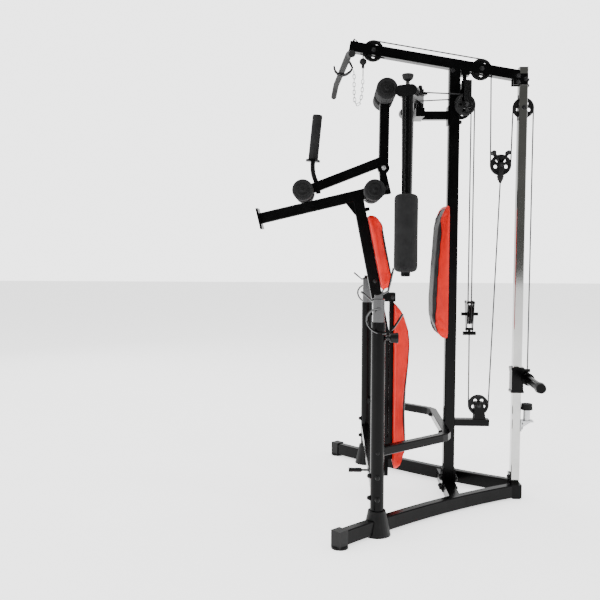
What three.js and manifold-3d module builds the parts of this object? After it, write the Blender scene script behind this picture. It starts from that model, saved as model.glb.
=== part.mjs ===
// Multi station home gym: plate loaded, with its bench folded up.
// Millimetres, +Z up, -Y is the front, +X is the left of a seated user.
// Places are written from the main upright's foot; the finished group is then centred on its box.
import * as THREE from 'three';
import { mergeVertices } from 'three/addons/utils/BufferGeometryUtils.js';
import Module from 'manifold-3d';

const wasm = await Module();
wasm.setup();

// ---------------------------------------------------------------- driving dimensions
const GAP = 0.3;              // left between pieces that touch
const SIDES = { left: 1, right: -1 };

// Base
const BASE_HEIGHT = 60;
const BASE_WIDTH = 40;
const BASE_BOTTOM = 8;
const BASE_TOP = BASE_BOTTOM + BASE_HEIGHT;
const BASE_REAR = [40, 301];      // x, y where an arm's centre line starts
const BASE_BEND = [271, -114];
const BASE_FRONT = [706, -529];
const BLOCK_FRONT = 285;
const BLOCK_REAR = 332;
const CROSS_HALF = 25;

// Uprights and beam
const UPRIGHT = 50;
const UPRIGHT_FOOT = 64.3;
const BEAM_HEIGHT = 45;
const BEAM_TILT = THREE.MathUtils.degToRad(10);
const BEAM_Z = 1994;              // beam axis above the main upright
const BEAM_FRONT = -482;          // along the beam, from the upright
const BEAM_REAR = 292;
const POST = 40;
const POST_Y = 310;
const POST_TOP = 1977;

// Pulleys and cables
const PULLEY_R = 48;
const PULLEY_WIDTH = 20;
const GROOVE_R = 41;
const CABLE_R = 2.5;
const CABLE_TURN = 46;            // radius of a cable's centre line round a pulley
const AXLE_R = 5;
const SLOT_WIDTH = 26;
const FRONT_PULLEY = beamPoint(-375);
const REAR_PULLEY = beamPoint(122);
const POST_PULLEY = [314, 1800];
const REAR_FLOAT = [217, 1543];
const FRONT_FLOAT = [88, 857];
const LOW_PULLEY = [136, 430];
const SWIVEL_PULLEY = [58, 42, 1806];   // the left one
const SWIVEL_TURN = THREE.MathUtils.degToRad(15.3);

// Barbell rack
const RACK_X = 537.5;
const RACK_Y = -364;
const RACK_R = 28;
const RACK_BORE = 24.4;
const RACK_TOP = 870;
const RACK_SET = { left: 0, right: 35 };   // how far each slider is drawn out
const SLIDER_R = 24;
const LOCK_Z = 806;

// Weight carriage
const SLEEVE = 54;
const SLEEVE_BOTTOM = 493;
const SLEEVE_TOP = 611;
const HORN_Y = 356;
const HORN_Z = 558;
const HORN_REACH = 272;

// Butterfly
const ARM_PIVOT = [60, -160];
const ARM_REACH = 239;
const ARM_Z = 1825;
const ARM_REST = { left: -18.7, right: 184 };   // degrees about Z
const ARM_PAD_R = 51;
const ARM_PAD = [1061, 1395];
const CRANK = [50, 12];           // cable end from the pivot, with the arm at rest

// Bench and leg developer
const RAIL = 50;
const RAIL_Y = -310;
const RAIL_BEND = 770;
const RAIL_TOP = 1425;
const RAIL_LEAN = 0.2;            // forward per height above the bend
const BENCH_PIVOT = [RAIL_Y, 250];
const BACKREST_HINGE = [-270, 935];
const LEG_SLOPE = 0.236;
const LEG_FOOT = [-884, 1297.5];
const LEG_END = -290;
const LEVER_PIVOT = [-318, 1528];
const LEVER_TUBE = 45;
const UPPER_BAR = [-315, 1861];
const LOWER_BAR = [-684, 1420];
const LEVER_ELBOW = [-318, 1562];
const KNEE_BAR = [-365, legZ(-365)];
const ROLLER_R = 47;
const ROLLER_INNER = 31;
const ROLLER_OUTER = 172;
const BAR_R = 10;

// ---------------------------------------------------------------- small helpers
function beamPoint(along) {
  return [along * Math.cos(BEAM_TILT), BEAM_Z - along * Math.sin(BEAM_TILT)];
}

function legZ(y) {
  return LEG_FOOT[1] + LEG_SLOPE * (y - LEG_FOOT[0]);
}

function railY(z) {
  return RAIL_Y - RAIL_LEAN * Math.max(0, z - RAIL_BEND);
}

function toSolid(geometry) {
  const bare = geometry.index ? geometry.toNonIndexed() : geometry.clone();
  bare.deleteAttribute('normal');
  bare.deleteAttribute('uv');
  const merged = mergeVertices(bare);
  return new wasm.Manifold(new wasm.Mesh({
    numProp: 3,
    vertProperties: new Float32Array(merged.attributes.position.array),
    triVerts: new Uint32Array(merged.index.array),
  }));
}

function toGeometry(solid) {
  const mesh = solid.getMesh();
  const geometry = new THREE.BufferGeometry();
  geometry.setAttribute('position', new THREE.BufferAttribute(mesh.vertProperties, 3));
  geometry.setIndex(new THREE.BufferAttribute(mesh.triVerts, 1));
  geometry.computeVertexNormals();
  return geometry;
}

function join(...geometries) {
  return toGeometry(geometries.map(toSolid).reduce((all, one) => all.add(one)));
}

function cut(geometry, ...tools) {
  return toGeometry(tools.map(toSolid).reduce((all, one) => all.subtract(one), toSolid(geometry)));
}

function box([x0, x1], [y0, y1], [z0, z1]) {
  const geometry = new THREE.BoxGeometry(x1 - x0, y1 - y0, z1 - z0);
  return geometry.translate((x0 + x1) / 2, (y0 + y1) / 2, (z0 + z1) / 2);
}

// A rod or cone from one point to another, with its radius at each end.
function rod(from, to, radius, endRadius = radius, sides = 20) {
  const a = new THREE.Vector3(...from);
  const b = new THREE.Vector3(...to);
  const along = b.clone().sub(a);
  const geometry = new THREE.CylinderGeometry(endRadius, radius, along.length(), sides);
  const turn = new THREE.Quaternion().setFromUnitVectors(
    new THREE.Vector3(0, 1, 0), along.clone().normalize());
  geometry.applyQuaternion(turn);
  return geometry.translate(...a.add(b).multiplyScalar(0.5).toArray());
}

function xRod([y, z], half, radius, sides = 20) {
  return rod([-half, y, z], [half, y, z], radius, radius, sides);
}

// Turned ring about Z from z0 to z1.
function ring(inner, outer, z0, z1, sides = 24) {
  const profile = [[inner, z0], [outer, z0], [outer, z1], [inner, z1], [inner, z0]];
  return new THREE.LatheGeometry(profile.map((p) => new THREE.Vector2(...p)), sides).rotateX(Math.PI / 2);
}

function outline(points) {
  return new THREE.Shape(points.map((p) => new THREE.Vector2(...p)));
}

// A flat plate whose outline is given in Y and Z, between two X values.
function sidePlate(points, [x0, x1]) {
  const geometry = new THREE.ExtrudeGeometry(outline(points), { depth: x1 - x0, bevelEnabled: false });
  geometry.rotateX(Math.PI / 2).rotateZ(Math.PI / 2);
  return geometry.translate(x0, 0, 0);
}

// A plate whose outline is given in X and Y, between two heights.
function flatPlate(points, [z0, z1]) {
  const geometry = new THREE.ExtrudeGeometry(outline(points), { depth: z1 - z0, bevelEnabled: false });
  return geometry.translate(0, 0, z0);
}

function roundSection(radius, sides = 8) {
  const step = (2 * Math.PI) / sides;
  const at = (i) => [radius * Math.cos(i * step), radius * Math.sin(i * step)];
  return outline(Array.from({ length: sides }, (_, i) => at(i)));
}

// A tube section with small corner flats: across is its width out of the path's plane.
function squareSection(across, within, corner = 4) {
  const a = across / 2;
  const b = within / 2;
  const c = corner;
  const quarter = [[a, c - b], [a, b - c], [a - c, b], [c - a, b]];
  return outline([...quarter, ...quarter.map(([x, y]) => [-x, -y])]);
}

// A path through stated points, with one ring of a swept section at each point.
class Route extends THREE.Curve {
  constructor(points) {
    super();
    this.points = points.map((p) => new THREE.Vector3(...p));
  }

  getPoint(t) {
    const scaled = t * (this.points.length - 1);
    const i = Math.min(Math.floor(scaled), this.points.length - 2);
    return this.points[i].clone().lerp(this.points[i + 1], scaled - i);
  }

  getPointAt(u) {
    return this.getPoint(u);
  }

  getTangentAt(u) {
    const i = Math.round(u * (this.points.length - 1));
    const before = this.points[Math.max(i - 1, 0)];
    const here = this.points[i];
    const after = this.points[Math.min(i + 1, this.points.length - 1)];
    const into = here.clone().sub(before).normalize();
    const out = after.clone().sub(here).normalize();
    return into.add(out).normalize();
  }
}

function sweep(section, points) {
  const extrudePath = new Route(points);
  return new THREE.ExtrudeGeometry(section, { steps: points.length - 1, bevelEnabled: false, extrudePath });
}

function sweepCurve(section, curve, steps) {
  return new THREE.ExtrudeGeometry(section, { steps, bevelEnabled: false, extrudePath: curve });
}

function smooth(points) {
  return new THREE.CatmullRomCurve3(points.map((p) => new THREE.Vector3(...p)), false, 'centripetal');
}

// Points of a cable round a pulley: degrees upwards from +Y, in a plane turned about Z by heading.
function turn([x, y, z], from, to, steps, heading = 0) {
  const points = [];
  for (let i = 0; i <= steps; i += 1) {
    const a = THREE.MathUtils.degToRad(from + ((to - from) * i) / steps);
    const out = CABLE_TURN * Math.cos(a);
    points.push([x - out * Math.sin(heading), y + out * Math.cos(heading), z + CABLE_TURN * Math.sin(a)]);
  }
  return points;
}

// ---------------------------------------------------------------- finishes
function finish(color, roughness, metalness) {
  return new THREE.MeshStandardMaterial({ color, roughness, metalness });
}

const BLACK = finish(0x151516, 0.35, 0.3);
const CHROME = finish(0xc9cbcc, 0.12, 1);
const GREY_STEEL = finish(0x8f9294, 0.35, 0.9);
const PLASTIC = finish(0x1a1a1b, 0.5, 0);
const RUBBER = finish(0x101010, 0.8, 0);
const FOAM = finish(0x262627, 0.85, 0);
const RED = finish(0xc8261a, 0.55, 0);
const CABLE = finish(0x6f7173, 0.4, 0.3);

const gym = new THREE.Group();

function add(name, geometry, material, place = {}) {
  const mesh = new THREE.Mesh(geometry, material);
  mesh.name = name;
  mesh.position.set(...(place.at ?? [0, 0, 0]));
  mesh.rotation.set(...(place.turned ?? [0, 0, 0]));
  (place.within ?? gym).add(mesh);
  return mesh;
}

// ---------------------------------------------------------------- base
function baseCurve(side) {
  const z = (BASE_BOTTOM + BASE_TOP) / 2;
  const at = ([x, y]) => new THREE.Vector3(side * x, y, z);
  return new THREE.QuadraticBezierCurve3(at(BASE_REAR), at(BASE_BEND), at(BASE_FRONT));
}

function baseArm(side, spare = 0) {
  const section = squareSection(BASE_HEIGHT + 2 * spare, BASE_WIDTH + 2 * spare);
  return sweepCurve(section, baseCurve(side), 10);
}

function footCap(side) {
  const tangent = baseCurve(side).getTangent(1);
  const angle = Math.atan2(tangent.y, tangent.x);
  const sleeve = box([-42, 5], [-24, 24], [3, 72]);
  const pad = rod([-20, 0, 0], [-20, 0, 7], 34, 32, 28);
  const across = BASE_WIDTH / 2 + GAP;
  const end = box([-8, GAP], [-across, across], [BASE_BOTTOM - GAP, BASE_TOP + GAP]);
  const cap = cut(join(sleeve, pad), end);
  cap.rotateZ(angle).translate(side * BASE_FRONT[0], BASE_FRONT[1], 0);
  return cut(cap, baseArm(side, GAP));
}

function postBoot(side) {
  const cone = rod([0, 0, 0], [0, 0, 101], 58, 36, 28).translate(side * RACK_X, RACK_Y, 0);
  const bore = RACK_R + GAP;
  const hole = rod([0, 0, 60], [0, 0, 130], bore, bore, 24).translate(side * RACK_X, RACK_Y, 0);
  return cut(cone, baseArm(side, GAP), hole);
}

function crossTube() {
  const inner = (y) => 190 + (CROSS_HALF - y) * 0.78 - 1;
  const corners = [[inner(CROSS_HALF), CROSS_HALF], [-inner(CROSS_HALF), CROSS_HALF]];
  corners.push([-inner(-CROSS_HALF), -CROSS_HALF], [inner(-CROSS_HALF), -CROSS_HALF]);
  return flatPlate(corners, [14, 64]);
}

function rearBlock() {
  const body = box([-64, 64], [BLOCK_FRONT + GAP, BLOCK_REAR], [BASE_BOTTOM - 2, BASE_TOP]);
  const foot = box([-56, 56], [BLOCK_FRONT + 6, BLOCK_REAR - 4], [0, BASE_BOTTOM]);
  const lug = box([-26, 26], [POST_Y - POST / 2 - 6, POST_Y - POST / 2 - GAP], [BASE_TOP - 5, 110]);
  return join(body, foot, lug);
}

const blockSpace = box([-90, 90], [BLOCK_FRONT, BLOCK_REAR + 20], [0, 100]);
for (const [name, side] of Object.entries(SIDES)) {
  add(`${name}_base_arm`, cut(baseArm(side), blockSpace), BLACK);
  add(`${name}_foot`, footCap(side), PLASTIC);
  add(`${name}_post_boot`, postBoot(side), PLASTIC);
}
add('base_cross_tube', crossTube(), BLACK);
add('rear_base_block', rearBlock(), BLACK);

// ---------------------------------------------------------------- pulleys
// One wheel about X, with a grooved rim, a thin web and a hub.
function pulleyWheel() {
  const half = PULLEY_WIDTH / 2;
  const bore = AXLE_R + 0.4;
  const profile = [[bore, -half], [15, -half], [17, -5], [35, -5], [37, -half + 2], [PULLEY_R, -half + 2],
    [GROOVE_R, 0], [PULLEY_R, half - 2], [37, half - 2], [35, 5], [17, 5], [15, half], [bore, half],
    [bore, -half]];
  const turned = new THREE.LatheGeometry(profile.map((p) => new THREE.Vector2(...p)), 18);
  return turned.rotateZ(-Math.PI / 2);
}

const wheel = pulleyWheel();
add('front_pulley', wheel, PLASTIC, { at: [0, ...FRONT_PULLEY] });
add('rear_pulley', wheel, PLASTIC, { at: [0, ...REAR_PULLEY] });
add('post_pulley', wheel, PLASTIC, { at: [0, ...POST_PULLEY] });
add('low_pulley', wheel, PLASTIC, { at: [0, ...LOW_PULLEY] });
add('rear_float_pulley', wheel, PLASTIC, { at: [0, ...REAR_FLOAT] });
add('front_float_pulley', wheel, PLASTIC, { at: [0, ...FRONT_FLOAT], turned: [0, 0, Math.PI / 2] });
for (const [name, side] of Object.entries(SIDES)) {
  const [x, y, z] = SWIVEL_PULLEY;
  add(`${name}_swivel_pulley`, wheel, PLASTIC, { at: [side * x, y, z], turned: [0, 0, side * SWIVEL_TURN] });
}

// The hanging block of a floating pulley, centred on its wheel: two cheeks, spacers and an axle.
function floatBlock(withWings) {
  const cheek = [[-42, 62], [42, 62], [44, 46], [9, -80], [-9, -80], [-44, 46]];
  const parts = [sidePlate(cheek, [-16, -12]), sidePlate(cheek, [12, 16])];
  parts.push(xRod([0, 0], 21, AXLE_R, 12), xRod([-33, 54], 19, 4, 8), xRod([33, 54], 19, 4, 8));
  parts.push(xRod([0, -70], 19, 6, 8));
  if (withWings) {
    parts.push(rod([0, 0, -68], [0, 0, -90], 7, 7, 12), xRod([0, -90], 30, 9, 12));
    parts.push(rod([12, 0, 0], [39, 0, 0], 8, 8, 12), rod([-39, 0, 0], [-12, 0, 0], 8, 8, 12));
  }
  return join(...parts);
}

add('rear_float_block', floatBlock(false), BLACK, { at: [0, ...REAR_FLOAT] });
add('front_float_block', floatBlock(true), BLACK, { at: [0, ...FRONT_FLOAT], turned: [0, 0, Math.PI / 2] });

// ---------------------------------------------------------------- main upright, beam and post
function beamBody(spare = 0) {
  const half = UPRIGHT / 2 + spare;
  const tall = BEAM_HEIGHT / 2 + spare;
  const body = box([-half, half], [BEAM_FRONT - spare, BEAM_REAR], [-tall, tall]);
  return body.rotateX(-BEAM_TILT).translate(0, 0, BEAM_Z);
}

function hookWire(x) {
  const crest = [[-432, 2060], [-452, 2112], [-470, 2078], [-484, 2040], [-478, 2008], [-462, 1988]];
  const points = [...crest, [-474, 1966], [-508, 1950], [-538, 1962], [-548, 1990]];
  return sweepCurve(roundSection(4, 6), smooth(points.map(([y, z]) => [x, y, z])), 16);
}

function topBeam() {
  const slots = [FRONT_PULLEY, REAR_PULLEY].map(([y, z]) => {
    const slot = box([-SLOT_WIDTH / 2, SLOT_WIDTH / 2], [-56, 56], [-60, 60]);
    return slot.rotateX(-BEAM_TILT).translate(0, y, z);
  });
  const behind = box([-40, 40], [POST_Y - POST / 2 - GAP, 400], [1800, 2100]);
  const tube = cut(beamBody(), ...slots, behind);
  const axles = [FRONT_PULLEY, REAR_PULLEY].map((centre) => xRod(centre, 24, AXLE_R));
  const cheeks = [-1, 1].map((s) => box(s > 0 ? [20.5, 25] : [-25, -20.5], [262, 328], [1900, 1950]));
  const hooks = [-16, 16].map(hookWire);
  return join(tube, ...axles, ...cheeks, ...hooks);
}

function lowStub() {
  const stub = box([-20, 20], [24, 182], [333, 365]);
  const ears = [-1, 1].map((s) => {
    const plate = [[112, 350], [172, 350], [156, 446], [118, 446]];
    return sidePlate(plate, s > 0 ? [12, 16] : [-16, -12]);
  });
  return join(stub, ...ears, xRod(LOW_PULLEY, 18, AXLE_R));
}

function mainUpright() {
  const tube = sweep(squareSection(UPRIGHT, UPRIGHT), [[0, 0, UPRIGHT_FOOT], [0, 0, 1980]]);
  const saddles = [-1, 1].map((s) => {
    const y = s > 0 ? [CROSS_HALF + GAP, 31] : [-31, -CROSS_HALF - GAP];
    const bridge = s > 0 ? [20, 31] : [-31, -20];
    return join(box([-32, 32], y, [20, 130]), box([-32, 32], bridge, [70, 130]));
  });
  return cut(join(tube, ...saddles, lowStub()), beamBody(GAP));
}

function chromePost() {
  const tube = sweep(squareSection(POST, POST, 3), [[0, POST_Y, BASE_TOP + GAP], [0, POST_Y, POST_TOP]]);
  const slot = box([-SLOT_WIDTH / 2, SLOT_WIDTH / 2], [POST_Y - 60, POST_Y + 60], [-57, 57]);
  return join(cut(tube, slot.translate(0, 0, POST_PULLEY[1])), xRod(POST_PULLEY, 24, AXLE_R));
}

add('top_beam', topBeam(), BLACK);
add('main_upright', mainUpright(), BLACK);
add('chrome_post', chromePost(), CHROME);

// The bracket behind the upright that carries the two pulleys of the butterfly cable.
function swivelCheeks(side) {
  const [x, y, z] = SWIVEL_PULLEY;
  const cheeks = [box([-16, -12], [-12, 24], [-14, 90]), box([12, 16], [-12, 24], [-14, 90])];
  const pair = join(...cheeks, xRod([0, 0], 18, AXLE_R, 12), box([-16, 16], [-12, 24], [80, 108]));
  return pair.rotateZ(side * SWIVEL_TURN).translate(side * x, y, z);
}

function swivelBracket() {
  const y = SWIVEL_PULLEY[1];
  const bar = box([-60, 60], [y - 10, y + 20], [1886, 1914]);
  const pin = rod([0, y + 5, 1900], [0, y + 5, 1950], 9, 9, 16);
  const flange = box([-25, 25], [y - 14, y + 24], [1944, 1990]);
  return cut(join(bar, pin, flange, swivelCheeks(1), swivelCheeks(-1)), beamBody(GAP));
}
add('swivel_bracket', swivelBracket(), BLACK);

// ---------------------------------------------------------------- weight carriage and its stop
function carriage() {
  const half = SLEEVE / 2;
  const outer = box([-half, half], [POST_Y - half, POST_Y + half], [SLEEVE_BOTTOM, SLEEVE_TOP]);
  const lips = [SLEEVE_BOTTOM, SLEEVE_TOP - 10].map((z) => (
    box([-half - 3, half + 3], [POST_Y - half - 3, POST_Y + half + 3], [z, z + 10])));
  const bar = xRod([HORN_Y, HORN_Z], HORN_REACH - 4, 20, 24);
  const caps = [-1, 1].map((s) => {
    return rod([s * (HORN_REACH - 24), HORN_Y, HORN_Z], [s * HORN_REACH, HORN_Y, HORN_Z], 25, 22, 24);
  });
  const collars = [-1, 1].map((s) => rod([s * 20, HORN_Y, HORN_Z], [s * 42, HORN_Y, HORN_Z], 29, 29, 24));
  const lug = box([-7, 7], [POST_Y + half - 4, 372], [588, 602]);
  const solid = join(outer, ...lips, bar, ...caps, ...collars, lug);
  const space = POST / 2 + 0.6;
  return cut(solid, box([-space, space], [POST_Y - space, POST_Y + space], [400, 700]));
}

function stopBracket() {
  const face = POST_Y + POST / 2 + GAP;
  const plate = box([-22, 22], [face, 389], [354, 360]);
  const web = sidePlate([[face, 318], [389, 355], [face, 355]], [-3, 3]);
  const back = box([-20, 20], [face, face + 5], [310, 358]);
  return join(plate, web, back, rod([0, 361, 355], [0, 361, 410], 16));
}

add('carriage', carriage(), BLACK);
add('stop_bracket', stopBracket(), GREY_STEEL);
add('stop_bumper', rod([0, 361, 410 + GAP], [0, 361, 438], 27, 25, 24), RUBBER);

// ---------------------------------------------------------------- cables
function cable(points) {
  return sweep(roundSection(CABLE_R), points);
}

const beamNormal = 90 - THREE.MathUtils.radToDeg(BEAM_TILT);
const BALL = [0, FRONT_PULLEY[0] - CABLE_TURN, 2011];
const BALL_R = 17;

function latRoute() {
  const start = [0, BALL[1], BALL[2] + BALL_R + GAP];
  const overFront = turn([0, ...FRONT_PULLEY], 180, beamNormal, 5);
  const overBeam = [...overFront, ...turn([0, ...REAR_PULLEY], beamNormal, 0, 5)];
  const overPost = [...turn([0, ...REAR_FLOAT], 180, 360, 8), ...turn([0, ...POST_PULLEY], 180, 0, 8)];
  return [start, ...overBeam, ...overPost, [0, POST_PULLEY[0] + CABLE_TURN, 602 + GAP]];
}

function linkRoute() {
  const start = [0, REAR_FLOAT[0], REAR_FLOAT[1] - 80 - GAP];
  return [start, ...turn([0, ...LOW_PULLEY], 0, -180, 8), [0, FRONT_FLOAT[0], FRONT_FLOAT[1] - 99 - GAP]];
}

function crankEnd(side) {
  return [side * (ARM_PIVOT[0] + CRANK[0]), ARM_PIVOT[1] + CRANK[1], SWIVEL_PULLEY[2] + CABLE_TURN];
}

function butterflyRoute() {
  const [x, y, z] = SWIVEL_PULLEY;
  const overLeft = turn([x, y, z], 90, 0, 4, SWIVEL_TURN);
  const overRight = turn([-x, y, z], 0, 90, 4, -SWIVEL_TURN);
  const underFloat = turn([0, ...FRONT_FLOAT], 0, -180, 8, -Math.PI / 2);
  return [crankEnd(1), ...overLeft, ...underFloat, ...overRight, crankEnd(-1)];
}

add('lat_cable', cable(latRoute()), CABLE);
add('link_cable', cable(linkRoute()), CABLE);
add('butterfly_cable', cable(butterflyRoute()), CABLE);

// ---------------------------------------------------------------- lat bar and cable end
// A chain link: two bowed wires whose ends meet inside each other.
function link(z0, z1, width, wire) {
  const bow = (s) => {
    const reach = z1 - z0;
    const points = [[0, 0.999], [0.7, 0.93], [1, 0.72], [1, 0.28], [0.7, 0.07], [0, 0.001]];
    return sweep(roundSection(wire, 6), points.map(([x, t]) => [s * width * x - (x ? 0 : s * 2), 0, z0 + reach * t]));
  };
  return join(bow(1), bow(-1));
}

function cableEnd() {
  const ball = new THREE.SphereGeometry(BALL_R, 12, 8).rotateX(Math.PI / 2);
  const stem = rod([0, 0, -28], [0, 0, -10], 5, 5, 8);
  const lower = [link(-170, -108, 11, 3).rotateZ(0.4), link(-202, -166, 9, 3)];
  return join(ball, stem, link(-112, -26, 12, 3), ...lower);
}

const LAT_BAR_REACH = 480;
const LAT_BAR_Z = 1969;
const LAT_BAR_END_Z = 1938;

function latBar() {
  const half = [[LAT_BAR_REACH, -476, LAT_BAR_END_Z], [350, -485, 1966], [320, -487, LAT_BAR_Z]];
  const far = [[-320, -536, LAT_BAR_Z], [-350, -538, 1966], [-LAT_BAR_REACH, -548, LAT_BAR_END_Z]];
  return sweep(roundSection(14, 16), [...half, ...far]);
}

add('cable_end', cableEnd(), GREY_STEEL, { at: BALL });
add('lat_bar', latBar(), BLACK);

// ---------------------------------------------------------------- barbell rack
function rackSlider(side) {
  const tube = ring(20, SLIDER_R, 400, 962, 20);
  const cap = rod([0, 0, 950], [0, 0, 962], 21, 21, 24);
  const local = (y, z) => [0, y - RACK_Y, z];
  const rest = [local(-435, 992), local(-393, 957), local(-327, 994), local(-306, 1087)];
  const cradle = sweep(roundSection(5, 6), rest);
  const seat = box([-6, 6], [-16, 16], [955, 978]);
  const fore = [[10, -356, 925], [30, -362, 925], [36, -392, 920], [36, -413, 893], [36, -408, 862]];
  const hook = [...fore, [36, -385, 838], [36, -352, 828], [36, -318, 838], [36, -296, 865], [36, -271, 907]];
  const route = smooth(hook.map(([x, y, z]) => [side * x, y - RACK_Y, z]));
  const safety = sweepCurve(roundSection(4.5, 6), route, 18);
  return join(tube, cap, cradle, seat, safety);
}

function rackPost() {
  const tube = ring(RACK_BORE, RACK_R, BASE_TOP + GAP, RACK_TOP, 24);
  return cut(tube, rod([0, 10, LOCK_Z], [0, 40, LOCK_Z], 5.4, 5.4, 12));
}

function lockKnob() {
  const pin = rod([0, RACK_BORE + GAP, 0], [0, 48, 0], 5, 5, 12);
  const grip = rod([0, 46, 0], [0, 80, 0], 17, 22, 18);
  return join(pin, grip);
}

for (const [name, side] of Object.entries(SIDES)) {
  const foot = [side * RACK_X, RACK_Y, 0];
  add(`${name}_rack_post`, rackPost(), BLACK, { at: foot });
  add(`${name}_rack_slider`, rackSlider(side), CHROME, { at: [foot[0], foot[1], RACK_SET[name]] });
  add(`${name}_lock_knob`, lockKnob(), PLASTIC, { at: [foot[0], foot[1], LOCK_Z] });
}

function clearOfPosts(geometry) {
  const bore = RACK_R + GAP;
  const posts = [-1, 1].map((s) => rod([s * RACK_X, RACK_Y, 0], [s * RACK_X, RACK_Y, 900], bore, bore, 24));
  return cut(geometry, ...posts);
}

function frontBrace() {
  return clearOfPosts(box([-RACK_X, RACK_X], [-390, -350], [175, 215]));
}

function uStabiliser() {
  const z = 342;
  const y = -UPRIGHT / 2 - GAP - 18;
  const bend = (s) => [[s * 292, y - 36, z], [s * 268, y - 14, z], [s * 236, y, z]];
  const path = [[RACK_X, RACK_Y, z], ...bend(1), ...bend(-1).reverse(), [-RACK_X, RACK_Y, z]];
  return clearOfPosts(sweep(squareSection(36, 36), path));
}

add('front_brace', frontBrace(), BLACK);
add('u_stabiliser', uStabiliser(), BLACK);

// ---------------------------------------------------------------- butterfly
function butterflyBracket() {
  const stem = box([-19, 19], [-141, -UPRIGHT / 2 - GAP], [1747, 1785]);
  const parts = [stem, box([-80, 80], [-180, -140], [1752, 1790])];
  parts.push(box([-30, 30], [-UPRIGHT / 2 - 5, -UPRIGHT / 2 - GAP], [1722, 1806]));
  for (const side of [-1, 1]) {
    const [x, y] = ARM_PIVOT;
    parts.push(rod([side * x, y, 1785], [side * x, y, 1880], 10));
  }
  return join(...parts);
}

// The arm is drawn along +X from its pivot; the crank is drawn where the cable ends.
function butterflyArm(name) {
  const side = SIDES[name];
  const hub = ring(10.5, 17, 1793, 1874, 24);
  const tube = cut(box([4, 212], [-16, 16], [ARM_Z - 18, ARM_Z + 18]), rod([0, 0, 1700], [0, 0, 1900], 11));
  const oval = [];
  for (let i = 0; i < 20; i += 1) {
    const a = (i * 2 * Math.PI) / 20;
    const flat = Math.sign(Math.cos(a)) * 22.5;
    oval.push([flat + 24.5 * Math.cos(a), ARM_Z + 24.5 * Math.sin(a)]);
  }
  const head = sidePlate(oval, [208, 268]);
  const hanger = rod([ARM_REACH, 0, ARM_PAD[1]], [ARM_REACH, 0, ARM_Z], 20.5, 24.5, 24);
  const spigot = rod([ARM_REACH, 0, ARM_PAD[0] - 14], [ARM_REACH, 0, ARM_PAD[1] + 2], 20.5, 20.5, 24);
  const rest = THREE.MathUtils.degToRad(ARM_REST[name]);
  const up = new THREE.Vector3(0, 0, 1);
  const reach = new THREE.Vector3(side * CRANK[0], CRANK[1], 0).applyAxisAngle(up, -rest);
  const across = new THREE.Vector3(-reach.y, reach.x, 0).normalize().multiplyScalar(12);
  const tip = reach.clone().setLength(reach.length() + 12);
  const corners = [[across.x, across.y], [-across.x, -across.y]];
  corners.push([tip.x - across.x, tip.y - across.y], [tip.x + across.x, tip.y + across.y]);
  const crank = flatPlate(corners, [1841, 1849]);
  const bored = cut(crank, rod([0, 0, 1700], [0, 0, 1900], 11));
  return join(hub, tube, head, hanger, spigot, bored);
}

function armKnob() {
  const collar = rod([0, 0, 16], [0, 0, 24], 12, 20, 20);
  return join(rod([0, 0, 0], [0, 0, 20], 6, 6, 12), collar, rod([0, 0, 22], [0, 0, 48], 22, 26, 20));
}

add('butterfly_bracket', butterflyBracket(), BLACK);
for (const [name, side] of Object.entries(SIDES)) {
  const pivot = new THREE.Group();
  pivot.position.set(side * ARM_PIVOT[0], ARM_PIVOT[1], 0);
  pivot.rotation.z = THREE.MathUtils.degToRad(ARM_REST[name]);
  gym.add(pivot);
  add(`${name}_arm`, butterflyArm(name), BLACK, { within: pivot });
  add(`${name}_arm_pad`, ring(21, ARM_PAD_R, ...ARM_PAD, 28), FOAM, { at: [ARM_REACH, 0, 0], within: pivot });
  add(`${name}_arm_knob`, armKnob(), PLASTIC, { at: [ARM_REACH, 0, ARM_Z + 24.5 + GAP], within: pivot });
}

// ---------------------------------------------------------------- back pad on the upright
function backPad() {
  const face = -UPRIGHT / 2 - GAP - 0.5;
  const belly = [[-52, 744], [-74, 760], [-86, 850], [-87, 930], [-80, 1080]];
  const profile = [[face, 746], ...belly, [-70, 1220], [-64, 1310], [-56, 1346], [-44, 1361], [face, 1362]];
  return sidePlate(profile, [-122, 122]);
}
add('back_pad', backPad(), RED);

// ---------------------------------------------------------------- bench
const railPath = [[0, RAIL_Y, 96], [0, RAIL_Y, RAIL_BEND], [0, railY(RAIL_TOP), RAIL_TOP]];

function frontLeg() {
  const start = [0, LEG_END, legZ(LEG_END)];
  const tube = sweep(squareSection(RAIL, RAIL), [[0, ...LEG_FOOT], start]);
  const slope = Math.atan(LEG_SLOPE);
  const plate = box([-60, 60], [-10, 0], [-50, 48]).rotateX(slope).translate(0, ...LEG_FOOT);
  const gusset = sidePlate([[-505, legZ(-505)], [-425, 1400], [-428, 1300], [-450, 1318]], [-18, 18]);
  return join(tube, plate, gusset);
}

function leverCheeks() {
  const bottom = LEG_END + 8;
  const points = [[bottom, 1412], [bottom - 34, 1548], [bottom - 58, 1546], [bottom - 44, 1404]];
  const cheek = (x) => sidePlate(points, x);
  return join(cheek([24.2, 29]), cheek([-29, -24.2]), xRod(LEVER_PIVOT, 34, 7));
}

function benchRail() {
  const tube = sweep(squareSection(RAIL, RAIL), railPath);
  const lug = (x) => box(x, [-345, -257], [915, 955]);
  const pin = xRod(BACKREST_HINGE, 33, 5, 16);
  const knee = xRod(KNEE_BAR, 176, BAR_R, 16);
  const bumper = rod([0, railY(1338) + 20, 1338], [0, railY(1338) + 44, 1343], 10, 8, 14);
  const whole = join(tube, frontLeg(), leverCheeks(), lug([24, 30]), lug([-30, -24]), pin, knee, bumper);
  return cut(whole, xRod(BENCH_PIVOT, 60, 8.5, 20));
}

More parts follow.
